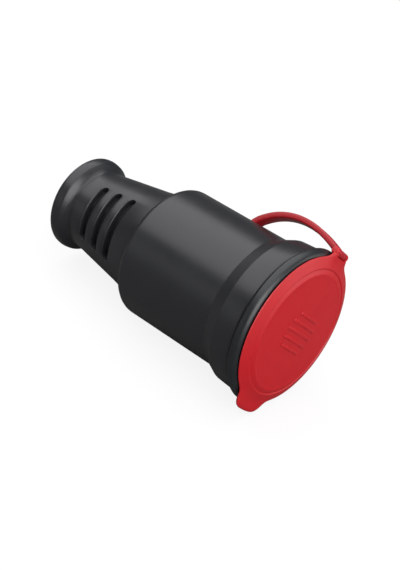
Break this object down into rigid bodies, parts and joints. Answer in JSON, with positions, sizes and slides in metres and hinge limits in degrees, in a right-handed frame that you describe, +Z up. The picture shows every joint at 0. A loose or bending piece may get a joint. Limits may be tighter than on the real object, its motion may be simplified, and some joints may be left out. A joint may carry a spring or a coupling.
{
  "type": "portable socket connector with lid",
  "caption": "Round rubber cable socket connector with a hinged protective lid on a strap, a slotted tapered neck and a flared cable entry, lying on its side.",
  "frame": {"origin": "centre of the bounding box's base, on the floor that the coupler lies on", "axes": "+X runs along the coupler towards its lid, with the coupler's own axis rising 3.6 degrees to the lid; +Z is up; the strap is at the upper far side and the finger tab at the lower near side"},
  "size_m": [0.1152, 0.0624, 0.0621],
  "materials": {
    "black_rubber": "satin moulded",
    "black_plastic": "semi-gloss moulded",
    "grey_plastic": "matt moulded",
    "red_plastic": "satin moulded",
    "seal_rubber": "soft matt",
    "brass": "drawn, bright",
    "steel": "plated"
  },
  "bodies": {
    "housing": {"cable_grommet": "seal_rubber", "centre_nut": "brass", "centre_screw": "steel", "clamp_saddle": "grey_plastic", "clamp_screw_lower": "steel", "clamp_screw_upper": "steel", "earth_bracket": "steel", "earth_screw": "steel", "flange_seal": "seal_rubber", "housing": "black_rubber", "lid_strap": "red_plastic", "line_contact": "brass", "line_screw": "steel", "line_spring": "steel", "neutral_contact": "brass", "neutral_screw": "steel", "neutral_spring": "steel", "socket_insert": "black_plastic", "terminal_block": "grey_plastic"},
    "lid": {"lid": "red_plastic", "lid_seal": "seal_rubber", "hinge_pin": "steel"}
  },
  "joints": [
    {"name": "lid_swing", "type": "hinge", "parent": "housing", "child": "lid", "pos_m": [0.05122, 0.01911, 0.05689], "axis": [-0.0447, -0.8021, 0.5955], "range_deg": [0, 160]}
  ]
}
